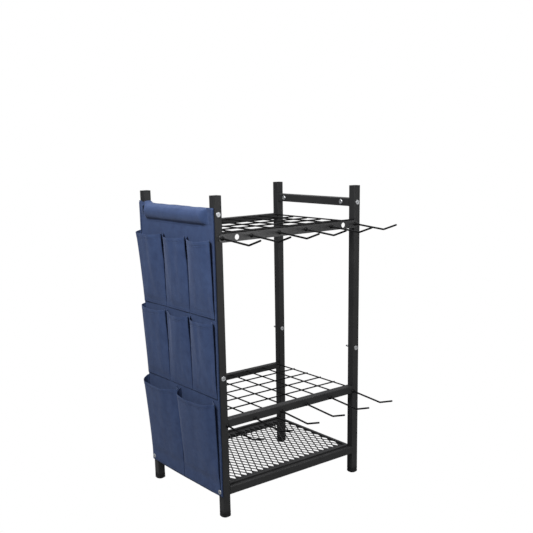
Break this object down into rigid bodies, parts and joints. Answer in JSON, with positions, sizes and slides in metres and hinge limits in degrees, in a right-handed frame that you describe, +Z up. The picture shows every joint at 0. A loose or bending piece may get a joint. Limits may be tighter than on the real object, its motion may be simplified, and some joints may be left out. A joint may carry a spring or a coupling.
{
  "type": "freestanding garden tool rack",
  "caption": "Bolted square-tube rack with two wire grids for long handles, a mesh shelf, two rows of front hooks and a side organiser of canvas pockets.",
  "frame": {"origin": "on the floor, under the middle of the whole rack's bounding box", "axes": "+X towards the side without the pockets, the hooks point to -Y, +Z up"},
  "size_m": [0.5994, 0.6004, 0.96],
  "materials": {
    "frame_coat": "dark grey powder coat, satin, finely textured",
    "plate_coat": "dark grey coat, glossier than the frame",
    "wire_coat": "black coat on round wire, satin",
    "black_plastic": "moulded black plastic, matt",
    "zinc": "bright zinc plating, slightly worn",
    "canvas": "woven dark blue canvas, matt, with sewn hems"
  },
  "bodies": {
    "root": {"lower_post_front_left": "frame_coat", "lower_post_front_right": "frame_coat", "lower_post_back_left": "frame_coat", "lower_post_back_right": "frame_coat", "upper_post_front_left": "frame_coat", "upper_post_front_right": "frame_coat", "upper_post_back_left": "frame_coat", "upper_post_back_right": "frame_coat", "post_sleeves": "frame_coat", "post_caps": "black_plastic", "foot_front_left": "black_plastic", "foot_front_right": "black_plastic", "foot_back_left": "black_plastic", "foot_back_right": "black_plastic", "front_bottom_rail": "frame_coat", "back_bottom_rail": "frame_coat", "front_mid_rail": "frame_coat", "back_mid_rail": "frame_coat", "back_top_rail": "frame_coat", "left_top_bar": "frame_coat", "right_top_bar": "frame_coat", "rail_end_plugs": "zinc", "shelf_bars": "frame_coat", "shelf_mesh": "frame_coat", "lower_grid_depth_wires": "wire_coat", "lower_grid_cross_wires": "wire_coat", "upper_grid_depth_wires": "wire_coat", "upper_grid_cross_wires": "wire_coat", "upper_grid_front_rod": "wire_coat", "hook_plate": "plate_coat", "plate_hook_1": "wire_coat", "plate_hook_2": "wire_coat", "plate_hook_3": "wire_coat", "plate_hook_4": "wire_coat", "plate_hook_5": "wire_coat", "plate_hook_6": "wire_coat", "lower_hook_1": "wire_coat", "lower_hook_2": "wire_coat", "lower_hook_3": "wire_coat", "lower_hook_4": "wire_coat", "lower_hook_5": "wire_coat", "lower_hook_6": "wire_coat", "rail_bolts": "zinc", "canvas_bolts": "zinc", "top_bar_bolts": "zinc", "seam_bolts": "zinc", "seam_nuts": "zinc", "cross_bolts": "zinc", "cross_nuts": "zinc", "canvas_back": "canvas", "canvas_sleeve": "canvas", "pocket_upper_1": "canvas", "pocket_upper_2": "canvas", "pocket_upper_3": "canvas", "pocket_middle_1": "canvas", "pocket_middle_2": "canvas", "pocket_middle_3": "canvas", "pocket_bottom_1": "canvas", "pocket_bottom_2": "canvas"}
  },
  "joints": []
}
